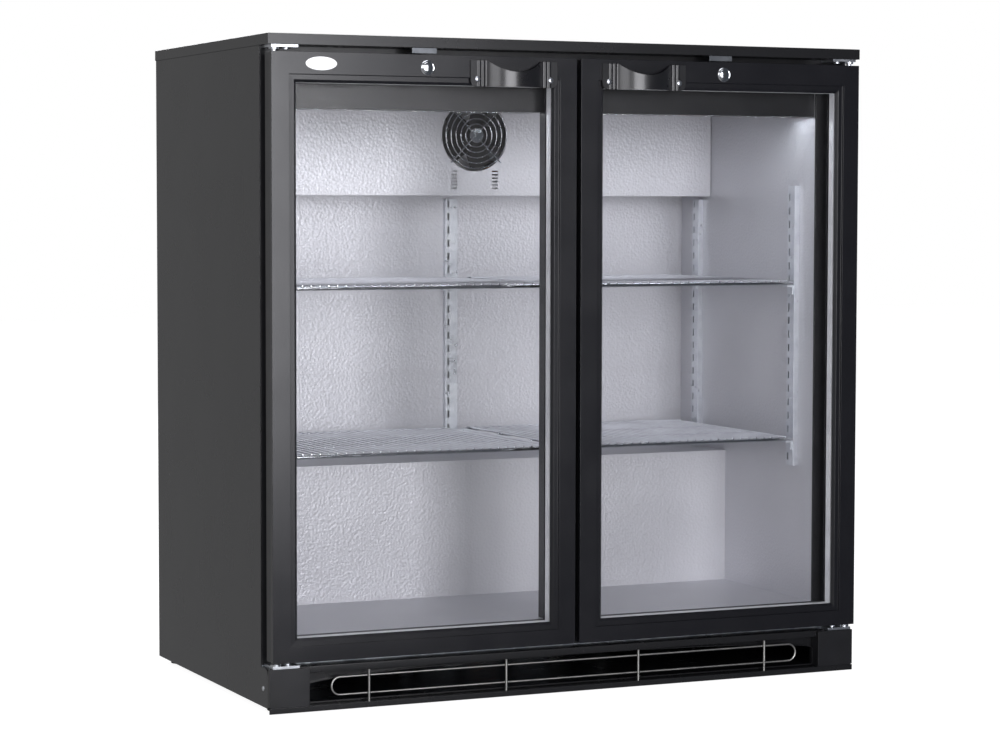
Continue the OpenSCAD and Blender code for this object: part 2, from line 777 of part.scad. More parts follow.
cond_fan_x = cond_x + cond_t + 24;
module condenser_fan_frame() {
    x0 = cond_x + cond_t + 1;
    y0 = bay_y + 8;
    y1 = back_in_y - 8;
    z1 = pan_top + 188;
    color(black_steel) {
        difference() {
            slab_box([x0, y0, pan_top], [x0 + 1.5, y1, z1]);
            rod_x([x0 - 1, bay_mid_y, cond_z], cond_fan_d / 2 + 5, 4);
        }
        difference() {
            rod_x([cond_fan_x + 22, bay_mid_y, cond_z], 27, 42);
            rod_x([cond_fan_x + 21, bay_mid_y, cond_z], 3 + run_fit, 26);
        }
        for (s = [-1, 1]) {
            slab_box([cond_fan_x + 40, bay_mid_y + s * (cond_fan_d / 2 + 9) - 3, cond_z - 5],
                     [cond_fan_x + 43, bay_mid_y + s * 20 + 3 * s, cond_z + 5]);
            slab_box([x0 + 1.5, bay_mid_y + s * (cond_fan_d / 2 + 9) - 1.5, cond_z - 5],
                     [cond_fan_x + 43, bay_mid_y + s * (cond_fan_d / 2 + 9) + 1.5, cond_z + 5]);
        }
    }
}

module condenser_fan_blade() {
    color("#8f9398") translate([cond_fan_x, bay_mid_y, cond_z]) rotate([0, 0, -90])
        fan_rotor(cond_fan_d, 20, 16, 5, 20);
}

drier_x = 40;
drier_y = bay_mid_y - 45;
drier_z = pan_top + 60;
module filter_drier() {
    color(copper) rod_z([drier_x, drier_y, drier_z], 9, 90);
}

// Discharge, liquid, capillary and suction lines
module refrigerant_pipes() {
    chase_mid = chase_x + chase_w / 2;
    chase_y = (back_wall_y + liner_t + back_in_y) / 2;
    comp_top = comp_z + comp_h - 40;
    left = comp_x - comp_d / 2;
    color(copper) {
        pipe([[left + 3, bay_mid_y - 20, comp_top], [left - 24, bay_mid_y - 20, comp_top],
              [left - 24, bay_mid_y - 20, bay_top - 20], [cond_x + 17, bay_mid_y - 20, bay_top - 20],
              [cond_x + 17, bay_mid_y - 20, pan_top + 188.5]], 3);
        pipe([[cond_x + 49, bay_mid_y - 45, pan_top + 188.5], [cond_x + 49, bay_mid_y - 45, bay_top - 34],
              [drier_x, drier_y, bay_top - 34], [drier_x, drier_y, drier_z + 90]], 3);
        pipe([[drier_x, drier_y, drier_z], [drier_x, drier_y, drier_z - 25], [drier_x, chase_y, drier_z - 25],
              [chase_mid - 12, chase_y, drier_z - 25], [chase_mid - 12, chase_y, pipe_hole_z],
              [chase_mid - 12, back_wall_y - 20, pipe_hole_z]], 1.6);
        pipe([[left + 3, bay_mid_y + 24, comp_top - 20], [left - 18, bay_mid_y + 24, comp_top - 20],
              [left - 18, chase_y, comp_top - 20], [left - 18, chase_y, bay_top - 12],
              [chase_mid + 4, chase_y, bay_top - 12], [chase_mid + 4, chase_y, pipe_hole_z],
              [chase_mid + 4, back_wall_y - 20, pipe_hole_z]], 4.5);
    }
}

// ---- hinges and strikes on the cabinet ----

// Right-hand leaf with its pin; up = 1 for the lower bracket, whose pin points up
module hinge_bracket(z_leaf, up) {
    leaf_in = half_w - 43;
    pin_len = 13;
    reach = up > 0 ? face_y - gap : face_y + 2 * gap;
    slab_box([leaf_in, door_y + 6, z_leaf], [half_w - door_inset - 2, reach, z_leaf + bracket_t]);
    pin_z = up > 0 ? z_leaf + bracket_t : z_leaf - pin_len;
    rod_z([hinge_x, hinge_y, pin_z], pin_d / 2, pin_len);
    washer_z = up > 0 ? z_leaf + bracket_t : z_leaf - 2.5;
    rod_z([hinge_x, hinge_y, washer_z], pin_d / 2 + 3, 2.5);
    head_z = up > 0 ? z_leaf + bracket_t : z_leaf - 2.5;
    rod_z([hinge_x - 18, hinge_y + 4, head_z], 4.5, 2.5);
}

module hinge_brackets() {
    color(zinc) for (s = [0, 1]) mirror([s, 0, 0]) {
        hinge_bracket(base_top, 1);
        difference() {
            hinge_bracket(slab_z - bracket_t, -1);
            slab_box([0, face_y - gap, 0], [far, far, far]);
        }
    }
}

strike_w = 36;
strike_off = 20;
cam_y = door_y + front_skin_t + 0.6;
cam_t = 2.4;
module lock_strikes() {
    tab_t = 1.6;
    y1 = cam_y - gap;
    color("#8e9197") for (x = [-lock_x, lock_x]) {
        slab_box([x - strike_off, y1 - tab_t, door_top + 1.8], [x - strike_off + strike_w, y1, slab_z]);
        slab_box([x - strike_off, y1 - tab_t, slab_z - tab_t], [x - strike_off + strike_w, y1 + 24, slab_z]);
    }
}

// ---- doors, drawn for the right-hand side and mirrored for the left ----

door_x = half_w - door_inset;
mid_x = door_gap / 2;
door_mid = (door_x + mid_x) / 2;

// Cuts shared by the two frames: lock bore, cam pocket and hinge bores
module door_bores(lock_in_x) {
    rod_y([lock_in_x, door_y - 1, lock_z], barrel_d / 2 + run_fit, front_skin_t + 1 + cam_t + 2);
    slab_box([lock_in_x - 6, door_y + front_skin_t, lock_z - 7],
             [lock_in_x + cam_l + 3, cam_y + cam_t + 1, door_top + 1]);
    for (z = [door_z - 1, door_top - 12]) rod_z([hinge_x, hinge_y, z], pin_d / 2 + run_fit, 13);
    for (x = [-1, 1])
        rod_y([handle_x + x * (handle_w - flange_w) / 2, door_y - 1, handle_z + 10], 2 + run_fit, 14);
}

module door_frame() {
    y1 = door_y + front_skin_t;
    w = door_w - 2 * stile_w;
    h = door_h - top_rail_w - bottom_rail_w;
    color(black_plastic) difference() {
        union() {
            difference() {
                slab_box([mid_x, door_y, door_z], [door_x, y1, door_top]);
                slab_box([mid_x + stile_w, door_y - 1, door_z + bottom_rail_w],
                         [door_x - stile_w, y1 + 1, door_top - top_rail_w]);
            }
            translate([door_mid, door_y, door_z + bottom_rail_w]) mitred_ring(w, h, [
                [0, 0], [1.2, 0], [1.8, 2.6], [bevel_w - 3.6, 2.6], [bevel_w, 6], [bevel_w, front_skin_t],
                [0, front_skin_t]]);
        }
        door_bores(lock_x);
    }
}

// Box of the glass unit, grown outwards by o, between two depths behind the door's face
module glass_block(o, d0, d1) {
    slab_box([mid_x + stile_w + bevel_w - o, door_y + d0, door_z + bottom_rail_w + bevel_w - o],
             [door_x - stile_w - bevel_w + o, door_y + d1, door_top - top_rail_w - bevel_w + o]);
}

pane_1 = front_skin_t + pane_t;
pane_2 = pane_1 + spacer_t;
pane_3 = pane_2 + pane_t;
module door_inner_frame() {
    color(black_plastic) difference() {
        slab_box([mid_x + 1, door_y + front_skin_t, door_z + 1], [door_x - 1, door_y + door_t, door_top - 1]);
        glass_block(glass_lap, front_skin_t - 1, pane_3);
        glass_block(0, pane_3 - 1, door_t + 1);
        door_bores(lock_x);
    }
}

module door_glass() {
    color("#9fb4b8", 0.25) {
        glass_block(glass_lap, front_skin_t, pane_1);
        glass_block(glass_lap, pane_2, pane_3);
    }
}

module door_spacer() {
    color("#c4c7cd") difference() {
        glass_block(glass_lap - 2, pane_1, pane_2);
        glass_block(0, pane_1 - 1, pane_2 + 1);
    }
}

// Bellows section: foot, waist and magnet lip
module door_gasket() {
    in = hinge_in + 1.5;
    d = gasket_t - seal_gap;
    y = door_y + door_t;
    color("#151517") translate([door_mid, y, door_z + in]) mitred_ring(door_w - 2 * in, door_h - 2 * in, [
        [0, 0], [gasket_w, 0], [gasket_w, 2], [gasket_w - 4, 3.5],
        [gasket_w - 2, d - 3], [gasket_w - 1, d - 2],
        [gasket_w - 1, d], [1, d], [1, d - 2], [2, d - 3], [4, 3.5], [0, 2]]);
}

handle_z = door_top - 6 - handle_h;

// Bowed pull: flanges on the door, a ribbed shoulder each side and a scooped top edge
module handle() {
    half = handle_w / 2 - flange_w;
    rise = handle_proud;
    bow_r = (half * half + rise * rise) / (2 * rise);
    scoop_r = 62;
    corner_r = 8;
    color(black_plastic) translate([handle_x, door_y, handle_z]) difference() {
        union() {
            intersection() {
                linear_extrude(handle_h) difference() {
                    translate([0, bow_r - rise]) circle(bow_r, $fn = 120);
                    translate([0, bow_r - rise]) circle(bow_r - handle_t, $fn = 120);
                }
                slab_box([-half - 2, -rise - 1, 0], [half + 2, 0, handle_h]);
            }
            for (s = [0, 1]) mirror([s, 0, 0]) {
                along_y(-handle_t, handle_t) union() {
                    translate([half - 1, corner_r]) square([flange_w + 1, handle_h - corner_r]);
                    translate([half - 1, 0]) square([flange_w + 1 - corner_r, handle_h]);
                    translate([half + flange_w - corner_r, corner_r]) circle(corner_r);
                }
                rod_z([half + 1.5, -handle_t, 0], 1.4, handle_h);
            }
        }
        rod_y([0, -rise - 1, handle_h + scoop_r - 15], scoop_r, rise - handle_t);
        for (x = [-1, 1])
            rod_y([x * (handle_w - flange_w) / 2, -handle_t - 1, 10], 2 + run_fit, handle_t + 2);
    }
}

module handle_screws() {
    color(zinc) for (x = [-1, 1])
        translate([handle_x + x * (handle_w - flange_w) / 2, door_y - handle_t, handle_z + 10]) {
            rod_y([0, 0, 0], 2, handle_t + front_skin_t - 0.5);
            difference() {
                rod_y([0, -1.8, 0], 4, 1.8);
                slab_box([-2.6, -2, -0.5], [2.6, -0.9, 0.5]);
                slab_box([-0.5, -2, -2.6], [0.5, -0.9, 2.6]);
            }
        }
}

// Chromed barrel with its cam, which points along the rail while unlocked
module lock() {
    face = door_y - 3.4;
    color(zinc) translate([lock_x, 0, lock_z]) {
        difference() {
            union() {
                rod_y([0, face, 0], barrel_d / 2, cam_y + cam_t - face + 1);
                rod_y([0, face + 1.2, 0], barrel_d / 2 + 2.5, door_y - 0.1 - face - 1.2);
            }
            slab_box([-0.9, face - 1, -3.6], [0.9, face + 2.4, 3.6]);
        }
        slab_box([0, cam_y, -4.5], [cam_l, cam_y + cam_t, 4.5]);
    }
}

// Blank oval badge
module badge() {
    w = 44;
    h = 18;
    steps = 48;
    color("#f2f3f5") along_y(door_y - 0.8, 0.8) translate([-half_w + 73, door_top - 15])
        polygon([for (i = [0 : steps - 1]) [w / 2 * cos(i * 360 / steps), h / 2 * sin(i * 360 / steps)]]);
}

module left_door_frame() { mirror([1, 0, 0]) door_frame(); }
module left_door_inner_frame() { mirror([1, 0, 0]) door_inner_frame(); }
module left_door_glass() { mirror([1, 0, 0]) door_glass(); }
module left_door_spacer() { mirror([1, 0, 0]) door_spacer(); }
module left_door_gasket() { mirror([1, 0, 0]) door_gasket(); }
module left_handle() { mirror([1, 0, 0]) handle(); }
module left_handle_screws() { mirror([1, 0, 0]) handle_screws(); }
module left_lock() { mirror([1, 0, 0]) lock(); }
module right_door_frame() { door_frame(); }
module right_door_inner_frame() { door_inner_frame(); }
module right_door_glass() { door_glass(); }
module right_door_spacer() { door_spacer(); }
module right_door_gasket() { door_gasket(); }
module right_handle() { handle(); }
module right_handle_screws() { handle_screws(); }
module right_lock() { lock(); }

worktop();
left_side_panel();
right_side_panel();
back_panel();
machine_bay_lining();
base_pan();
feet();
foam_insulation();
inner_liner();
face_frame();
centre_mullion();
base_rail();
corner_blocks();
kick_panel();
kick_wire_guard();
rear_grille();
cable_gland();
light_housings();
light_strips();
evaporator_cover();
evaporator_coil();
evaporator_fan_guard();
evaporator_fan_motor();
evaporator_fan_blade();
thermostat_box();
thermostat_knob();
light_switch();
shelf_standards();
shelf_clips();
upper_left_shelf();
upper_right_shelf();
lower_left_shelf();
lower_right_shelf();
compressor();
compressor_grommets();
evaporation_tray();
condenser_coil();
condenser_fan_frame();
condenser_fan_blade();
filter_drier();
refrigerant_pipes();
hinge_brackets();
lock_strikes();
left_door_frame();
left_door_inner_frame();
left_door_glass();
left_door_spacer();
left_door_gasket();
left_handle();
left_handle_screws();
left_lock();
right_door_frame();
right_door_inner_frame();
right_door_glass();
right_door_spacer();
right_door_gasket();
right_handle();
right_handle_screws();
right_lock();
badge();
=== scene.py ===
import json
from math import cos, pi, radians, sin, sqrt

import bmesh
import bpy
from mathutils import Matrix, Vector


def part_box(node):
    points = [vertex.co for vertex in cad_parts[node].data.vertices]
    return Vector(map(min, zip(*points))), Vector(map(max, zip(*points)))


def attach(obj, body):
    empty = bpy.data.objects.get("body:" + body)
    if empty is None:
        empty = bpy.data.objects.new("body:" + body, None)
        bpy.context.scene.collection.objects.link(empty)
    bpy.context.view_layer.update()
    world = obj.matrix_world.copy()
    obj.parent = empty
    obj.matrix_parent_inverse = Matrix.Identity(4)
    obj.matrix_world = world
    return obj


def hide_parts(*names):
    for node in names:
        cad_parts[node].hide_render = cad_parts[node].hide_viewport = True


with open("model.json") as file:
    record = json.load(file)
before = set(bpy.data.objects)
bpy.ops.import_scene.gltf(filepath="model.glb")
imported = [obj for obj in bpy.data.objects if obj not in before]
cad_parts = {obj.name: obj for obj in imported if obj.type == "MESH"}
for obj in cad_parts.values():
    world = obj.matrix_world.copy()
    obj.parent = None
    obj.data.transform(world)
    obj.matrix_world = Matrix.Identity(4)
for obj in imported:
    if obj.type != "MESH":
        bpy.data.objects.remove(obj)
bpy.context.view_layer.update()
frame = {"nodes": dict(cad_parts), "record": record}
nodes = frame["nodes"]
scene = bpy.context.scene
mm = 0.001  # sizes below are in millimetres
print("cooler frame loaded:", len(nodes), "pieces")


# camera: level with the upper shelf, to the left of the doors

cameraSet = {"place": (-1.6758, -3.6758, 0.6769), "turn": -24.371, "tilt": -3.513, "roll": 0.107,
             "lens": 100.02, "sensor": 36, "reach": 50}


def turned(degrees, axis):
    return Matrix.Rotation(radians(degrees), 4, axis)


cameraData = bpy.data.cameras.new("camera")
cameraData.lens = cameraSet["lens"]
cameraData.sensor_width = cameraSet["sensor"]
cameraData.clip_end = cameraSet["reach"]
camera = bpy.data.objects.new("camera", cameraData)
scene.collection.objects.link(camera)
camera.matrix_world = (Matrix.Translation(cameraSet["place"]) @ turned(cameraSet["turn"], "Z")
                       @ turned(90 + cameraSet["tilt"], "X") @ turned(cameraSet["roll"], "Z"))
scene.camera = camera
scene.view_settings.view_transform = "Standard"  # keeps whites white and blacks deep
print("camera placed")


# materials

def linear(hexColour):
    channels = [int(hexColour[i:i + 2], 16) / 255 for i in (1, 3, 5)]
    return [c / 12.92 if c <= 0.04045 else ((c + 0.055) / 1.055) ** 2.4 for c in channels] + [1.0]


def per(size):
    return 1 / (size * mm)  # pattern scale from a real size in mm


def addNode(tree, kind, settings=None, links=None):
    node = tree.nodes.new(kind)
    for key, value in (settings or {}).items():
        if isinstance(key, int) or key in node.inputs:
            node.inputs[key].default_value = value
        else:
            setattr(node, key, value)
    for key, (source, output) in (links or {}).items():
        tree.links.new(source.outputs[output], node.inputs[key])
    return node


def blankMaterial(name):
    material = bpy.data.materials.new(name)
    material.use_nodes = True
    material.node_tree.nodes.clear()
    return material, material.node_tree


def ramp(tree, source, output, stops):
    node = addNode(tree, "ShaderNodeValToRGB", links={"Fac": (source, output)})
    band = node.color_ramp
    for place, (position, colour) in enumerate(stops):
        stop = band.elements[place] if place < 2 else band.elements.new(position)
        stop.position = position
        stop.color = colour if len(colour) == 4 else list(colour) + [1.0]
    return node


def finished(tree, shader):
    addNode(tree, "ShaderNodeOutputMaterial", links={"Surface": (shader, 0)})


def noise(tree, coords, size, detail):
    return addNode(tree, "ShaderNodeTexNoise", {"Scale": per(size), "Detail": detail},
                   {"Vector": (coords, "Object")})


def spread(tree, source, output, fromRange, toRange):
    return addNode(tree, "ShaderNodeMapRange", {"From Min": fromRange[0], "From Max": fromRange[1],
                                                "To Min": toRange[0], "To Max": toRange[1]},
                   {"Value": (source, output)})


noiseBand = (0.3, 0.7)  # a noise's values bunch in here, so the roughness reaches both its ends


# Two tones in clouds of colourSize, a roughness range in clouds of roughSize, and a grain, sizes in mm
def noisyMaterial(name, colours, colourSize, roughness, roughSize, grainSize, grainDepth, shader=None):
    material, tree = blankMaterial(name)
    coords = addNode(tree, "ShaderNodeTexCoord")
    tone = noise(tree, coords, colourSize, 4.0)
    colour = ramp(tree, tone, "Fac", [(0.35, linear(colours[0])), (0.65, linear(colours[1]))])
    rough = spread(tree, noise(tree, coords, roughSize, 3.0), "Fac", noiseBand, roughness)
    grain = noise(tree, coords, grainSize, 2.0)
    relief = addNode(tree, "ShaderNodeBump", {"Strength": 1.0, "Distance": grainDepth * mm},
                     {"Height": (grain, "Fac")})
    body = addNode(tree, "ShaderNodeBsdfPrincipled", shader, {
        "Base Color": (colour, 0), "Roughness": (rough, 0), "Normal": (relief, 0)})
    finished(tree, body)
    return material


# polyester powder coat on steel: even satin black, its orange peel drawn coarse enough to show
powderCoat = noisyMaterial("powder coated steel", ("#131315", "#151517"), 60, (0.26, 0.28), 90, 3.2, 0.01)
# the doors' extrusions have a smoother coat, so their edges shine more
doorCoat = noisyMaterial("satin coated door extrusion", ("#0f0f13", "#121216"), 90, (0.23, 0.27), 50, 4.0,
                         0.008)
# moulded ABS: deep black with a fine spark-eroded texture
mouldedAbs = noisyMaterial("moulded black abs", ("#121214", "#161619"), 40, (0.3, 0.35), 25, 2.4, 0.01)
# the pulls come from a polished mould, so they carry a clear highlight
pullAbs = noisyMaterial("polished black abs", ("#131315", "#17171a"), 40, (0.27, 0.32), 30, 5.0, 0.008,
                        {"Coat Weight": 0.25, "Coat Roughness": 0.12})
# matt black paint on steel for the condenser; the same dull black also serves as painted shade in the keyways
# and in the screw heads' crossed recess
blackPaintAndShade = noisyMaterial("dull black steel and painted shade", ("#151516", "#1b1b1c"), 50, (0.6, 0.7), 30, 3.0, 0.05)
# extruded PVC and moulded rubber: matt and slightly dusty
sealRubber = noisyMaterial("seal rubber", ("#141415", "#1d1d1e"), 25, (0.6, 0.75), 18, 1.6, 0.06)
footRubber = noisyMaterial("foot rubber", ("#161617", "#202021"), 18, (0.65, 0.8), 12, 1.4, 0.08)
metal = {"Metallic": 1.0}
# zinc on the strikes, its colour darker and greyer than the bright plate as painted shade from the gap they
# sit in
zincWithPaintedShade = noisyMaterial("zinc darkened as painted shade", ("#5f6266", "#707377"), 14, (0.4, 0.5), 9, 1.2, 0.02, metal)
# bright zinc on stamped steel: cold white metal with soft clouds
zincPlate = noisyMaterial("bright zinc plate", ("#cdd0d6", "#d9dce0"), 14, (0.27, 0.36), 9, 1.2, 0.015, metal)
# dull nickel on the kick guard's wire: greyer and softer than the shelves
dullNickel = noisyMaterial("dull nickel plate", ("#a3a29f", "#b5b4b0"), 20, (0.36, 0.44), 12, 1.2, 0.01,
                           metal)
# chrome plate over wire and lock: clear mirror highlights on the rounds
chromePlate = noisyMaterial("chrome plate", ("#d2d4d8", "#e4e6ea"), 30, (0.08, 0.14), 20, 1.2, 0.004, metal)
# satin spacer bar between the panes: catches the light along its inner face
spacerAluminium = noisyMaterial("satin spacer aluminium", ("#cfd0d4", "#dcdde0"), 30, (0.4, 0.5), 16, 1.0,
                                0.01, {"Metallic": 0.35})
# mill-finish aluminium sheet of the fins and the fan: soft grey metal
finAluminium = noisyMaterial("fin aluminium", ("#9ea2aa", "#c2c6cc"), 22, (0.34, 0.5), 10, 2.0, 0.03, metal)
# black baking enamel on the compressor and the motor: glossy, slightly wavy
bakedEnamel = noisyMaterial("baked enamel", ("#101113", "#17181a"), 60, (0.2, 0.3), 40, 8.0, 0.06)
# drawn copper with darker heat tints
drawnCopper = noisyMaterial("drawn copper", ("#a8613c", "#cf8a5f"), 16, (0.25, 0.42), 12, 1.5, 0.02, metal)
# moulded ABS, white on the badge and the thermostat, grey on the switch: smooth with a soft gloss
whiteAbs = noisyMaterial("white abs", ("#e6e7e8", "#f2f3f4"), 20, (0.22, 0.3), 15, 2.0, 0.01,
                         {"Coat Weight": 0.3})
greyAbs = noisyMaterial("grey abs", ("#8e9296", "#a0a4a8"), 20, (0.3, 0.4), 15, 2.0, 0.02)
# rigid polyurethane foam: cream, with open cells on its cut faces
rigidFoam = noisyMaterial("rigid foam", ("#d6c88e", "#e8ddae"), 12, (0.85, 0.95), 20, 2.2, 0.5)


# stucco-embossed aluminium: rolled pebbles that scatter the strip light into a bright, grainy sheen
stucco = {"pebble": 4.2, "pebbleDepth": 0.32, "grit": 3.0, "gritDepth": 0.16, "cloud": 220,
          "roughness": (0.38, 0.5)}


def stuccoMaterial():
    material, tree = blankMaterial("stucco embossed aluminium")
    coords = addNode(tree, "ShaderNodeTexCoord")
    pebble = addNode(tree, "ShaderNodeTexVoronoi", {"Scale": per(stucco["pebble"]), "Randomness": 0.9,
                                                    "feature": "SMOOTH_F1", "Smoothness": 0.6},
                     {"Vector": (coords, "Object")})
    fine = noise(tree, coords, stucco["grit"], 2.0)
    sheet = noise(tree, coords, stucco["cloud"], 3.0)
    tone = ramp(tree, sheet, "Fac", [(0.3, linear("#bfbfc4")), (0.7, linear("#cfcfd4"))])
    rough = spread(tree, fine, "Fac", noiseBand, stucco["roughness"])
    emboss = addNode(tree, "ShaderNodeBump", {"Strength": 1.0, "Distance": stucco["pebbleDepth"] * mm},
                     {"Height": (pebble, "Distance")})
    grit = addNode(tree, "ShaderNodeBump", {"Strength": 1.0, "Distance": stucco["gritDepth"] * mm},
                   {"Height": (fine, "Fac"), "Normal": (emboss, 0)})
    body = addNode(tree, "ShaderNodeBsdfPrincipled", {"Metallic": 0.5}, {
        "Base Color": (tone, 0), "Roughness": (rough, 0), "Normal": (grit, 0)})
    finished(tree, body)
    return material


stuccoAluminium = stuccoMaterial()


# hot-dip galvanised sheet: angular spangles of different brightness
galvanise = {"spangle": 14, "roughness": (0.34, 0.56)}


def galvanisedMaterial():
    material, tree = blankMaterial("galvanised sheet")
    coords = addNode(tree, "ShaderNodeTexCoord")
    spangle = addNode(tree, "ShaderNodeTexVoronoi", {"Scale": per(galvanise["spangle"])},
                      {"Vector": (coords, "Object")})
    flake = addNode(tree, "ShaderNodeSeparateColor", links={"Color": (spangle, "Color")})
    tone = ramp(tree, flake, 0, [(0.0, linear("#8f959b")), (1.0, linear("#b4b9be"))])
    rough = spread(tree, flake, 1, (0.0, 1.0), galvanise["roughness"])
    body = addNode(tree, "ShaderNodeBsdfPrincipled", metal,
                   {"Base Color": (tone, 0), "Roughness": (rough, 0)})
    finished(tree, body)
    return material


galvanised = galvanisedMaterial()


# float glass with an anti-glare film: clear face on, and a soft veil where a lamp would mirror in it
# its index is below glass's 1.5, because the film takes most of the mirror image away
glass = {"smear": 160, "smearBand": (0.4, 0.8), "roughness": (0.28, 0.34), "ior": 1.12}


def glassMaterial():
    material, tree = blankMaterial("float glass")
    coords = addNode(tree, "ShaderNodeTexCoord")
    smear = noise(tree, coords, glass["smear"], 2.0)
    rough = spread(tree, smear, "Fac", glass["smearBand"], glass["roughness"])
    clear = addNode(tree, "ShaderNodeBsdfTransparent", {"Color": linear("#fefefe")})
    mirror = addNode(tree, "ShaderNodeBsdfGlossy", {"Color": linear("#ffffff")}, {"Roughness": (rough, 0)})
    edge = addNode(tree, "ShaderNodeFresnel", {"IOR": glass["ior"]})
    mixed = addNode(tree, "ShaderNodeMixShader", links={0: (edge, 0), 1: (clear, 0), 2: (mirror, 0)})
    finished(tree, mixed)
    return material


floatGlass = glassMaterial()


# opal diffuser over the strip of diodes: glows, with a brighter spot over each one
diffuser = {"diodePitch": 32, "glow": 26.0, "roughness": 0.5}
wavePeriod = pi / 10  # the length in which a wave texture of scale 1 repeats


def diffuserMaterial():
    material, tree = blankMaterial("opal diffuser")
    coords = addNode(tree, "ShaderNodeTexCoord")
    dots = addNode(tree, "ShaderNodeTexWave", {"Scale": per(diffuser["diodePitch"]) * wavePeriod,
                                              "wave_type": "BANDS", "bands_direction": "X"},
                   {"Vector": (coords, "Object")})
    glow = ramp(tree, dots, "Fac", [(0.0, linear("#dbe6f4")), (1.0, linear("#ffffff"))])
    body = addNode(tree, "ShaderNodeBsdfPrincipled", {"Roughness": diffuser["roughness"],
                                                      "Emission Strength": diffuser["glow"]},
                   {"Base Color": (glow, 0), "Emission Color": (glow, 0)})
    finished(tree, body)
    return material


opalDiffuser = diffuserMaterial()
print("materials ready:", len(bpy.data.materials))


# mesh helpers, in mm

sharpAngle = 34  # degrees between two faces, past which their edge is a real one
samePoint = 1e-6  # metres


def shaded(bm, limit=sharpAngle):
    for face in bm.faces:
        face.smooth = True
    for edge in bm.edges:
        edge.smooth = len(edge.link_faces) == 2 and edge.calc_face_angle(pi) < radians(limit)


def roundEdges(bm, edges, radius, segments=2):
    if edges and radius:
        bmesh.ops.bevel(bm, geom=edges, offset=radius * mm, offset_type="OFFSET", affect="EDGES",
                        segments=segments, profile=0.5, material=-1, clamp_overlap=True)


# Each edge of these vertices once, in an order that no run changes
def edgesOf(verts):
    return list(dict.fromkeys(edge for vert in verts for edge in vert.link_edges))


def addBox(bm, low, high, radius, segments=2):
    low, high = Vector(low) * mm, Vector(high) * mm
    shape = Matrix.Translation((low + high) / 2) @ Matrix.Diagonal((*(high - low), 1))
    made = bmesh.ops.create_cube(bm, size=1.0, matrix=shape)
    roundEdges(bm, edgesOf(made["verts"]), radius, segments)


def addRod(bm, start, end, radius, sides, tip=0.0):
    start, end = Vector(start) * mm, Vector(end) * mm
    aim = (end - start).to_track_quat("Z", "Y").to_matrix().to_4x4()
    made = bmesh.ops.create_cone(bm, cap_ends=True, segments=sides, radius1=radius * mm, radius2=radius * mm,
                                 depth=(end - start).length,
                                 matrix=Matrix.Translation((start + end) / 2) @ aim)
    if tip:
        rims = [edge for edge in edgesOf(made["verts"]) if edge.calc_face_angle(0) > radians(sharpAngle)]
        roundEdges(bm, rims, tip)


# A round body turned about an axis: the outline is (radius, distance along the axis)
def addTurned(bm, outline, origin, axis, steps):
    aim = Vector(axis).to_track_quat("Z", "Y").to_matrix().to_4x4()
    place = Matrix.Translation(Vector(origin) * mm) @ aim
    verts = [bm.verts.new(place @ Vector((r * mm, 0, z * mm))) for r, z in outline]
    edges = [bm.edges.new(pair) for pair in zip(verts, verts[1:])]
    bmesh.ops.spin(bm, geom=verts + edges, cent=place.translation, axis=place.to_3x3() @ Vector((0, 0, 1)),
                   dvec=(0, 0, 0), angle=2 * pi, steps=steps, use_merge=True, use_duplicate=False)
    bmesh.ops.remove_doubles(bm, verts=bm.verts, dist=samePoint)


# The outline of a shallow dome that starts at a face and falls back at its rim
def domeOutline(radius, face, fall, steps):
    angles = [pi / 2 * i / steps for i in range(steps + 1)]
    return [(radius * sin(angle), face + fall * (1 - cos(angle))) for angle in angles]


arcSteps = 8


# A closed loop of wire: its corners get an arc of the bend radius
def addLoop(bm, corners, radius, bend, sides):
    points = [Vector(c) * mm for c in corners]
    path = []
    for i, point in enumerate(points):
        back = (points[i - 1] - point).normalized()
        ahead = (points[(i + 1) % len(points)] - point).normalized()
        half = back.angle(ahead) / 2
        reach = bend * mm / (sin(half) / cos(half))
        centre = point + (back + ahead).normalized() * (bend * mm / sin(half))
        first, last = point + back * reach - centre, point + ahead * reach - centre
        arc = [first.slerp(last, k / arcSteps).normalized() for k in range(arcSteps + 1)]
        path += [centre + outward * bend * mm for outward in arc]
    curve = bpy.data.curves.new("wire", "CURVE")
    curve.dimensions = "3D"
    curve.bevel_depth = radius * mm
    curve.bevel_resolution = (sides - 4) // 2
    spline = curve.splines.new("POLY")
    spline.points.add(len(path) - 1)
    for spot, point in zip(spline.points, path):
        spot.co = (*point, 1)
    spline.use_cyclic_u = True
    holder = bpy.data.objects.new("wire", curve)
    mesh = bpy.data.meshes.new_from_object(holder)
    bm.from_mesh(mesh)
    bpy.data.objects.remove(holder)
    bpy.data.curves.remove(curve)
    bpy.data.meshes.remove(mesh)


def makePiece(name, bm, material, body, stands=(), limit=sharpAngle):
    bmesh.ops.recalc_face_normals(bm, faces=bm.faces)
    shaded(bm, limit)
    mesh = bpy.data.meshes.new(name)
    bm.to_mesh(mesh)
    bm.free()
    mesh.materials.append(material)
    piece = bpy.data.objects.new(name, mesh)
    scene.collection.objects.link(piece)
    even = piece.modifiers.new("flat faces stay flat", "WEIGHTED_NORMAL")
    even.keep_sharp = True
    even.weight = 100  # the largest face decides
    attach(piece, body)
    if stands:
        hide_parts(*stands)


def paint(material, *names):
    for name in names:
        for place in nodes[name].material_slots:
            place.material = material


bodyOf = {name: body for body, names in frame["record"]["behaviour"]["bodies"].items() for name in names}


flatAngle = 0.5  # degrees, below which two faces are one flat


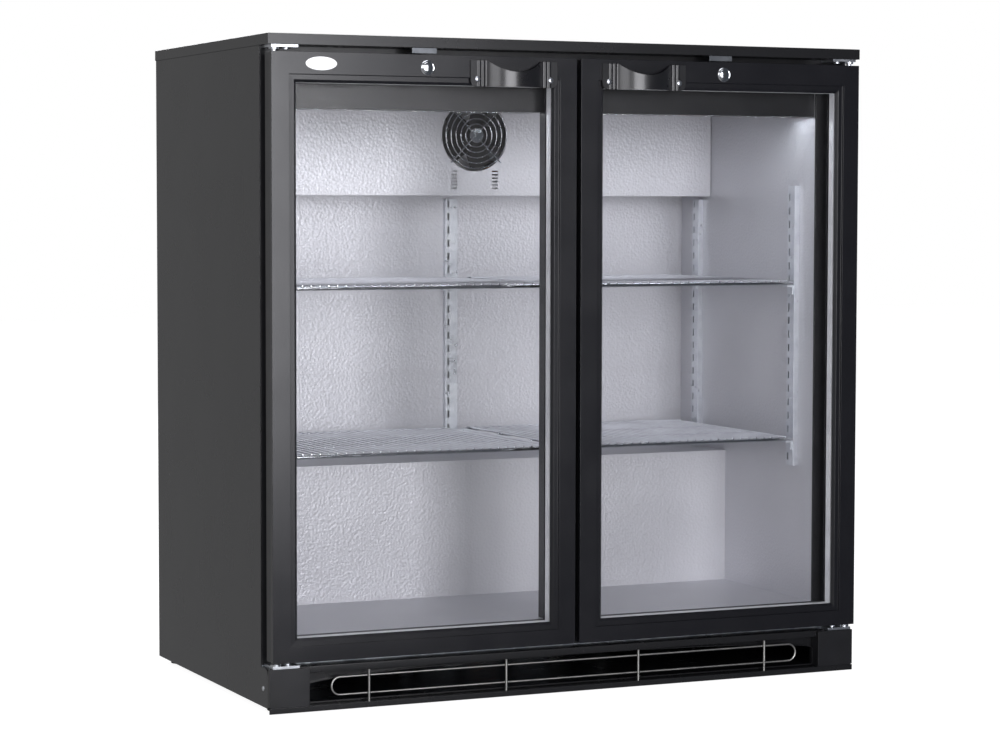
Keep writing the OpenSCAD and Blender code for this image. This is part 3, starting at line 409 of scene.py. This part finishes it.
# A copy of a frame node, merged, with its sharp edges eased as a real part's are
def easedCopy(node, material, radius, segments=2):
    bm = bmesh.new()
    bm.from_mesh(nodes[node].data)
    bmesh.ops.remove_doubles(bm, verts=bm.verts, dist=samePoint)
    bmesh.ops.dissolve_limit(bm, angle_limit=radians(flatAngle), verts=bm.verts, edges=bm.edges)
    sharp = [edge for edge in bm.edges
             if len(edge.link_faces) == 2 and edge.calc_face_angle(0) > radians(sharpAngle)]
    roundEdges(bm, sharp, radius, segments)
    makePiece(node + "_finished", bm, material, bodyOf[node], [node])


# cabinet shell

easedCopy("worktop", powderCoat, 1.0, segments=3)
easedCopy("left_side_panel", powderCoat, 0.4)
easedCopy("right_side_panel", powderCoat, 0.4)
paint(powderCoat, "back_panel", "rear_grille")
easedCopy("base_pan", powderCoat, 0.3)
easedCopy("base_rail", powderCoat, 0.8)
easedCopy("corner_blocks", mouldedAbs, 1.0)
easedCopy("kick_panel", powderCoat, 0.35)
easedCopy("feet", footRubber, 0.8)
easedCopy("face_frame", mouldedAbs, 0.6)
easedCopy("centre_mullion", mouldedAbs, 0.4)
paint(rigidFoam, "foam_insulation")
paint(galvanised, "machine_bay_lining")
paint(stuccoAluminium, "inner_liner")

panelScrews = {"frontY": -206, "frontZ": 33, "head": 3.4, "rearInset": 14,
               "rearZ": (30, 170, 255, 290, 480, 680, 870)}
# a pan head's outline, as (share of its radius, height over the sheet)
panHead = [(0, 1.7), (0.45, 1.6), (0.85, 1.0), (1, 0.2), (1, -0.4), (0, -0.4)]


def sideScrews():
    bm = bmesh.new()
    outline = [(panelScrews["head"] * share, height) for share, height in panHead]
    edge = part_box("right_side_panel")[1].x / mm
    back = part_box("rear_grille")[1].y / mm
    for side in (-1, 1):
        addTurned(bm, outline, (side * edge, panelScrews["frontY"], panelScrews["frontZ"]), (side, 0, 0),
                  steps=20)
        for z in panelScrews["rearZ"]:
            addTurned(bm, outline, (side * (edge - panelScrews["rearInset"]), back, z), (0, 1, 0), steps=20)
    makePiece("panel_screws", bm, zincPlate, "cabinet")


sideScrews()
print("cabinet shell done")


# shelves: round chrome wire, a deck welded on a bent rim

shelfSet = {"rimWire": 5.6, "crossWire": 5.0, "deckWire": 3.0, "deckCount": 29, "bend": 8,
            "crossAt": (1 / 3, 2 / 3), "rimOut": 0.1, "deckPast": 1, "endBack": 0.2, "endEase": 0.5}


def shelf(node):
    low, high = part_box(node)
    rim, deck = shelfSet["rimWire"], shelfSet["deckWire"]
    inX, inY = rim / 2 - shelfSet["rimOut"], rim / 2 + shelfSet["deckPast"]
    x0, x1 = low.x / mm + inX, high.x / mm - inX
    y0, y1 = low.y / mm + inY, high.y / mm - inY
    deckZ = high.z / mm - deck / 2
    rimZ = low.z / mm + rim / 2
    bm = bmesh.new()
    corners = [(x0, y0, rimZ), (x1, y0, rimZ), (x1, y1, rimZ), (x0, y1, rimZ)]
    addLoop(bm, corners, rim / 2, shelfSet["bend"], sides=16)
    for share in shelfSet["crossAt"]:
        y = y0 + (y1 - y0) * share
        addRod(bm, (x0, y, rimZ), (x1, y, rimZ), shelfSet["crossWire"] / 2, sides=16)
    front, rear = low.y / mm + shelfSet["endBack"], high.y / mm - shelfSet["endBack"]
    for i in range(1, shelfSet["deckCount"] + 1):
        x = x0 + (x1 - x0) * i / (shelfSet["deckCount"] + 1)
        addRod(bm, (x, front, deckZ), (x, rear, deckZ), deck / 2, sides=12, tip=shelfSet["endEase"])
    makePiece(node + "_wires", bm, chromePlate, bodyOf[node], [node])


for shelfNode in ("upper_left_shelf", "upper_right_shelf", "lower_left_shelf", "lower_right_shelf"):
    shelf(shelfNode)
easedCopy("shelf_standards", zincPlate, 0.2)
easedCopy("shelf_clips", zincPlate, 0.3)
print("shelves done")


# light, thermostat and cold air

easedCopy("light_housings", mouldedAbs, 0.5)
paint(opalDiffuser, "light_strips")
easedCopy("thermostat_box", whiteAbs, 1.2, segments=3)
easedCopy("thermostat_knob", mouldedAbs, 0.7)
easedCopy("light_switch", greyAbs, 0.5)
easedCopy("evaporator_cover", stuccoAluminium, 0.35)
easedCopy("evaporator_fan_guard", chromePlate, 0.0)
easedCopy("evaporator_fan_blade", mouldedAbs, 0.25)
easedCopy("evaporator_fan_motor", bakedEnamel, 0.6)
paint(finAluminium, "evaporator_coil")
print("cold air parts done")


# machine bay

easedCopy("compressor", bakedEnamel, 1.2)
easedCopy("compressor_grommets", sealRubber, 0.8)
easedCopy("evaporation_tray", mouldedAbs, 0.6)
paint(blackPaintAndShade, "condenser_coil")
easedCopy("condenser_fan_frame", powderCoat, 0.3)
easedCopy("condenser_fan_blade", finAluminium, 0.2)
easedCopy("filter_drier", drawnCopper, 2.0, segments=3)
easedCopy("refrigerant_pipes", drawnCopper, 0.0)
easedCopy("cable_gland", mouldedAbs, 0.5)
print("machine bay done")


# fittings at the front

easedCopy("kick_wire_guard", dullNickel, 0.0)
easedCopy("hinge_brackets", zincPlate, 0.4)
easedCopy("lock_strikes", zincWithPaintedShade, 0.4)
print("front fittings done")


# doors: four mitred rails each, with a stepped and bevelled inner edge

doorSet = {"inner": 3.5, "outer": 446.5, "low": 69.5, "high": 876.4, "front": -238.0, "side": 24, "top": 28,
           "bottom": 20, "skin": 7.0, "ease": 0.3, "crease": 20}
ringProfile = [(1.2, 0.0), (1.8, 2.6), (8.4, 2.6), (12.0, 6.0), (12.0, 7.0)]  # (in from the flat, depth)
mirrorOf = {"left": -1, "right": 1}


def railProfile(flat):
    return [(0.0, doorSet["skin"]), (0.0, 0.0)] + [(flat + u, depth) for u, depth in ringProfile]


def doorFrame(side):
    bm = bmesh.new()
    flats = {"outer": doorSet["side"], "inner": doorSet["side"], "low": doorSet["bottom"],
             "high": doorSet["top"]}

    def corner(xEdge, zEdge):
        loop = []
        for (u, depth), (w, _) in zip(railProfile(flats[xEdge]), railProfile(flats[zEdge])):
            x = doorSet[xEdge] + (u if xEdge == "inner" else -u)
            z = doorSet[zEdge] + (w if zEdge == "low" else -w)
            loop.append(Vector((mirrorOf[side] * x, doorSet["front"] + depth, z)) * mm)
        return loop

    corners = [corner(*edges) for edges in (("inner", "low"), ("outer", "low"),
                                            ("outer", "high"), ("inner", "high"))]
    for i in range(4):
        rings = []
        for loop in (corners[i], corners[(i + 1) % 4]):
            verts = [bm.verts.new(point) for point in loop]
            bm.faces.new(verts)
            rings += [bm.edges.get((a, b)) for a, b in zip(verts, verts[1:] + verts[:1])]
        bmesh.ops.bridge_loops(bm, edges=rings)
    bmesh.ops.recalc_face_normals(bm, faces=bm.faces)
    # only the edges that run along a rail are eased, so the mitres stay tight
    along = []
    for edge in bm.edges:
        step = edge.verts[0].co - edge.verts[1].co
        straight = sum(abs(part) > samePoint for part in step) == 1 and abs(step.y) < samePoint
        if straight and edge.calc_face_angle(0) > radians(doorSet["crease"]):
            along.append(edge)
    roundEdges(bm, along, doorSet["ease"])
    makePiece(side + "_door_rails", bm, doorCoat, side + "_door", [side + "_door_frame"])


# cam lock: a flange and a domed core turned in one piece, a dark box as painted shade in its keyway, and the
# cam behind
# pairs are (past the core or in from the rim, depth behind the face)
lockSet = {"flange": 2.5, "proud": 3.4, "dome": 1.7, "groove": (0.4, 1.9), "lip": (1.2, 1.7),
           "shoulder": (0.5, 2.1), "rim": 0.6, "seat": 0.1, "keyWide": 1.6, "keyTall": 6.4, "keyDeep": 1,
           "keyProud": 0.05, "keyEase": 0.1, "camThick": 2.4, "camHigh": 9, "camBack": 1, "camEase": 0.4}


def lock(side):
    node = side + "_lock"
    low, high = (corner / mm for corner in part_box(node))
    rim = (high.z - low.z) / 2
    core = rim - lockSet["flange"]
    x, z = (high.x - rim if side == "left" else low.x + rim), (low.z + high.z) / 2
    face, back = low.y, high.y
    skin = face + lockSet["proud"]
    groove, lip, shoulder = lockSet["groove"], lockSet["lip"], lockSet["shoulder"]
    outline = domeOutline(core, face, lockSet["dome"], steps=8)
    outline += [(core + groove[0], face + groove[1]), (core + lip[0], face + lip[1]),
                (rim - shoulder[0], face + shoulder[1]), (rim, skin - lockSet["rim"]),
                (rim, skin - lockSet["seat"]), (core, skin - lockSet["seat"]), (core, back), (0, back)]
    bm = bmesh.new()
    addTurned(bm, outline, (x, 0, z), (0, 1, 0), steps=48)
    camEnd, camRear = (low.x if side == "left" else high.x), back - lockSet["camBack"]
    addBox(bm, (min(x, camEnd), camRear - lockSet["camThick"], z - lockSet["camHigh"] / 2),
           (max(x, camEnd), camRear, z + lockSet["camHigh"] / 2), lockSet["camEase"])
    makePiece(side + "_lock_barrel", bm, chromePlate, bodyOf[node], [node])
    # the keyway is not cut: a thin dark box just proud of the face paints the slot's shade
    keywayShade = bmesh.new()
    half, tall = lockSet["keyWide"] / 2, lockSet["keyTall"] / 2
    addBox(keywayShade, (x - half, face - lockSet["keyProud"], z - tall),
           (x + half, face + lockSet["keyDeep"], z + tall), lockSet["keyEase"])
    makePiece(side + "_keyway_painted_shade", keywayShade, blackPaintAndShade, bodyOf[node])


for doorSide in ("left", "right"):
    doorFrame(doorSide)
    easedCopy(doorSide + "_door_inner_frame", mouldedAbs, 0.4)
    easedCopy(doorSide + "_door_gasket", sealRubber, 0.3)
    easedCopy(doorSide + "_door_glass", floatGlass, 0.25)
    easedCopy(doorSide + "_door_spacer", spacerAluminium, 0.2)
    lock(doorSide)
easedCopy("badge", whiteAbs, 0.35)
print("doors done")


# pulls: a strip bent into a bow, ribbed shoulders and a scooped top edge

pullSet = {"centre": 99, "width": 129, "height": 35, "flange": 20, "rise": 18, "wall": 2.6, "scoop": 62,
           "scoopDeep": 15, "scoopReach": 55.8, "corner": 8, "rib": 1.4, "ribHalf": 2.24, "ribAt": (1.5, 7.5),
           "low": 835.4, "behind": 0.05, "columns": 172, "rows": 16, "crease": 50}


# how far the strip's front stands off the door, at a place along its width
def pullDepth(x):
    half = pullSet["width"] / 2 - pullSet["flange"]
    bow = (half * half + pullSet["rise"] ** 2) / (2 * pullSet["rise"])
    depth = pullSet["wall"]
    if abs(x) < half:
        depth = max(depth, sqrt(bow * bow - x * x) - (bow - pullSet["rise"]))
    for place in pullSet["ribAt"]:
        away = abs(abs(x) - half - place)
        if away < pullSet["ribHalf"]:
            swell = (1 + cos(pi * away / pullSet["ribHalf"])) / 2
            depth = max(depth, pullSet["wall"] + pullSet["rib"] * swell)
    return depth


def pull(side):
    bm = bmesh.new()
    bmesh.ops.create_grid(bm, x_segments=pullSet["columns"], y_segments=pullSet["rows"], size=0.5)
    scoop, corner = pullSet["scoop"], pullSet["corner"]
    for vert in bm.verts:
        x, share = vert.co.x * pullSet["width"], vert.co.y + 0.5
        top = pullSet["height"]
        if abs(x) < pullSet["scoopReach"]:
            top = min(top, top - pullSet["scoopDeep"] + scoop - sqrt(scoop ** 2 - x * x))
        into = max(0.0, abs(x) - (pullSet["width"] / 2 - corner))
        bottom = corner - sqrt(max(0.0, corner ** 2 - into * into))
        vert.co = Vector((mirrorOf[side] * pullSet["centre"] + x, doorSet["front"] - pullDepth(x),
                          pullSet["low"] + bottom + share * (top - bottom))) * mm
    bmesh.ops.recalc_face_normals(bm, faces=bm.faces)
    if sum(face.normal.y * face.calc_area() for face in bm.faces) > 0:
        bmesh.ops.reverse_faces(bm, faces=bm.faces)
    bmesh.ops.solidify(bm, geom=list(bm.faces), thickness=(pullSet["wall"] - pullSet["behind"]) * mm)
    makePiece(side + "_pull", bm, pullAbs, side + "_door", [side + "_handle"],
              pullSet["crease"])


# pan-head screws, a crossed dark box on each head as painted shade of its recess
screwSet = {"shank": 2, "dome": 1.4, "crossLong": 3.4, "crossWide": 0.8, "crossDeep": 0.6, "crossProud": 0.02,
            "crossEase": 0.05}


def pullScrews(side):
    node = side + "_handle_screws"
    low, high = (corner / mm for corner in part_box(node))
    head = (high.z - low.z) / 2
    z, seat = low.z + head, doorSet["front"] - pullSet["wall"]
    shank = screwSet["shank"]
    outline = domeOutline(head, low.y, screwSet["dome"], steps=6)
    outline += [(head, seat), (shank, seat), (shank, high.y), (0, high.y)]
    front, floor = low.y - screwSet["crossProud"], low.y + screwSet["crossDeep"]
    arms = [(screwSet["crossLong"] / 2, screwSet["crossWide"] / 2),
            (screwSet["crossWide"] / 2, screwSet["crossLong"] / 2)]
    # the cross is not cut: dark boxes just proud of the dome paint the recess's shade
    heads, recessShade = bmesh.new(), bmesh.new()
    for x in (low.x + head, high.x - head):
        addTurned(heads, outline, (x, 0, z), (0, 1, 0), steps=28)
        for wide, tall in arms:
            addBox(recessShade, (x - wide, front, z - tall), (x + wide, floor, z + tall),
                   screwSet["crossEase"], segments=1)
    makePiece(side + "_pull_screws", heads, zincPlate, bodyOf[node], [node])
    makePiece(side + "_screw_recess_painted_shade", recessShade, blackPaintAndShade, bodyOf[node])


for doorSide in ("left", "right"):
    pull(doorSide)
    pullScrews(doorSide)
print("pulls done")


# floor, lamps and room

studioSet = {"floor": 12, "floorGlow": 0.94, "tint": (0.96, 0.96, 1.0), "fill": 2.0}
# place, (width, height), power, what it looks at
lamps = {"key": ((-2.9, -4.2, 1.7), (2.2, 2.2), 66, (0, 0, 0.45)),
         "sheen": ((0.15, -4.3, 0.9), (1.9, 2.0), 104, (0, 0, 0.55)),
         "top": ((-0.6, -0.6, 4.2), (3.0, 3.0), 60, (0, 0, 0.45)),
         "right": ((4.5, 0.8, 1.6), (1.8, 2.2), 45, (0, 0, 0.45)),
         "back": ((0.8, 4.5, 2.6), (2.0, 1.6), 70, (0, 0, 0.45))}
# the room's brightness from its left to its right, the two ends first
room = [(0.0, (0.14, 0.14, 0.142)), (1.0, (0.022, 0.026, 0.032)), (0.2, (0.15, 0.15, 0.152)),
        (0.34, (0.18, 0.18, 0.181)), (0.6, (0.035, 0.037, 0.042))]


def makeFloor():
    floor = bpy.data.objects.new("floor", bpy.data.meshes.new("floor"))
    bm = bmesh.new()
    bmesh.ops.create_grid(bm, x_segments=2, y_segments=2, size=studioSet["floor"])
    bm.to_mesh(floor.data)
    bm.free()
    scene.collection.objects.link(floor)
    glow = {"Emission Color": linear("#ffffff"), "Emission Strength": studioSet["floorGlow"]}
    floor.data.materials.append(noisyMaterial("pale studio floor", ("#8f8f8f", "#959595"), 900, (0.8, 0.9),
                                              400, 20, 0.02, glow))
    floor.visible_glossy = False  # the black coats pick up the lamps, not the floor


def makeLamp(name, place, size, power, target):
    light = bpy.data.lights.new(name, "AREA")
    light.shape = "RECTANGLE"
    light.size, light.size_y = size
    light.energy = power
    light.color = studioSet["tint"]
    lamp = bpy.data.objects.new(name, light)
    lamp.location = place
    lamp.rotation_euler = (Vector(target) - Vector(place)).to_track_quat("-Z", "Y").to_euler()
    scene.collection.objects.link(lamp)


# The camera sees white behind the cooler, and everything else sees a dim room
def makeWorld():
    world = bpy.data.worlds.new("studio")
    scene.world = world
    world.use_nodes = True
    tree = world.node_tree
    tree.nodes.clear()
    path = addNode(tree, "ShaderNodeLightPath")
    seen = addNode(tree, "ShaderNodeBackground", {"Color": linear("#ffffff"), "Strength": 1.0})
    aim = addNode(tree, "ShaderNodeTexCoord")
    axes = addNode(tree, "ShaderNodeSeparateXYZ", links={"Vector": (aim, "Generated")})
    wall = ramp(tree, spread(tree, axes, "X", (-1.0, 1.0), (0.0, 1.0)), 0, room)
    fill = addNode(tree, "ShaderNodeBackground", {"Strength": studioSet["fill"]}, {"Color": (wall, 0)})
    mixed = addNode(tree, "ShaderNodeMixShader",
                    links={0: (path, "Is Camera Ray"), 1: (fill, 0), 2: (seen, 0)})
    addNode(tree, "ShaderNodeOutputWorld", links={"Surface": (mixed, 0)})


makeFloor()
for lampName, lampSet in lamps.items():
    makeLamp(lampName, *lampSet)
makeWorld()
print("studio done")
